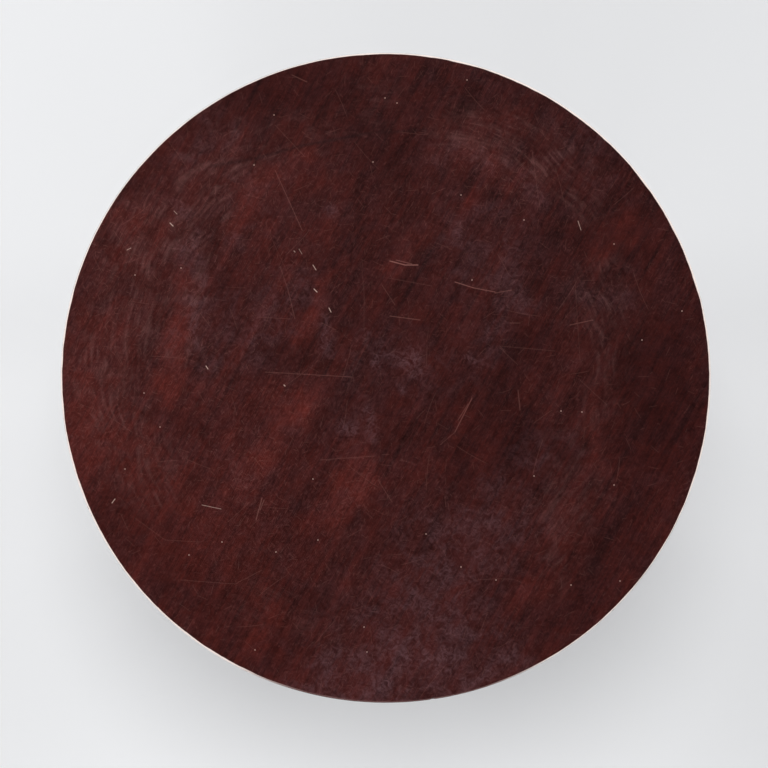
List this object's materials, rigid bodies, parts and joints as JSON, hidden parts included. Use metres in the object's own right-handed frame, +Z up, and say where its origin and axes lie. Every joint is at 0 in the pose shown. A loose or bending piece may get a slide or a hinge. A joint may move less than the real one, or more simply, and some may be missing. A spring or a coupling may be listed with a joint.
{
  "type": "occasional table",
  "caption": "Round lacquered occasional table: a plain thick-edged top on a waist, arched aprons, curved legs and a floor ring.",
  "frame": {"origin": "centre of the floor under the table", "axes": "+Z up, +Y towards one leg, which is the upper edge of the top as pictured"},
  "size_m": [0.6, 0.6, 0.5],
  "materials": {
    "top_lacquer": "satin lacquer with streaks, haze, scratches and specks",
    "rim_lacquer": "satin lacquer, rubbed to a pale ground on its edges",
    "base_lacquer": "satin lacquer, lightly rubbed on raised edges",
    "underside_lacquer": "matt, brushed",
    "bamboo": "bare",
    "key_wood": "satin lacquer"
  },
  "bodies": {
    "root": {"top_board_left": "top_lacquer", "top_board_middle": "top_lacquer", "top_board_right": "top_lacquer", "batten_front": "underside_lacquer", "batten_back": "underside_lacquer", "board_dowels": "bamboo", "rim_pins": "bamboo", "apron_pegs": "bamboo", "floor_ring_keys": "key_wood", "rim_lining_1": "rim_lacquer", "rim_lining_2": "rim_lacquer", "rim_lining_3": "rim_lacquer", "rim_lining_4": "rim_lacquer", "rim_lining_5": "rim_lacquer", "waist_1": "base_lacquer", "waist_2": "base_lacquer", "waist_3": "base_lacquer", "waist_4": "base_lacquer", "waist_5": "base_lacquer", "bead_1": "base_lacquer", "bead_2": "base_lacquer", "bead_3": "base_lacquer", "bead_4": "base_lacquer", "bead_5": "base_lacquer", "apron_1": "base_lacquer", "apron_2": "base_lacquer", "apron_3": "base_lacquer", "apron_4": "base_lacquer", "apron_5": "base_lacquer", "leg_1": "base_lacquer", "leg_2": "base_lacquer", "leg_3": "base_lacquer", "leg_4": "base_lacquer", "leg_5": "base_lacquer", "floor_ring_1": "base_lacquer", "floor_ring_2": "base_lacquer", "floor_ring_3": "base_lacquer", "floor_ring_4": "base_lacquer", "floor_ring_5": "base_lacquer", "foot_pad_1": "base_lacquer", "foot_pad_2": "base_lacquer", "foot_pad_3": "base_lacquer", "foot_pad_4": "base_lacquer", "foot_pad_5": "base_lacquer"}
  },
  "joints": []
}
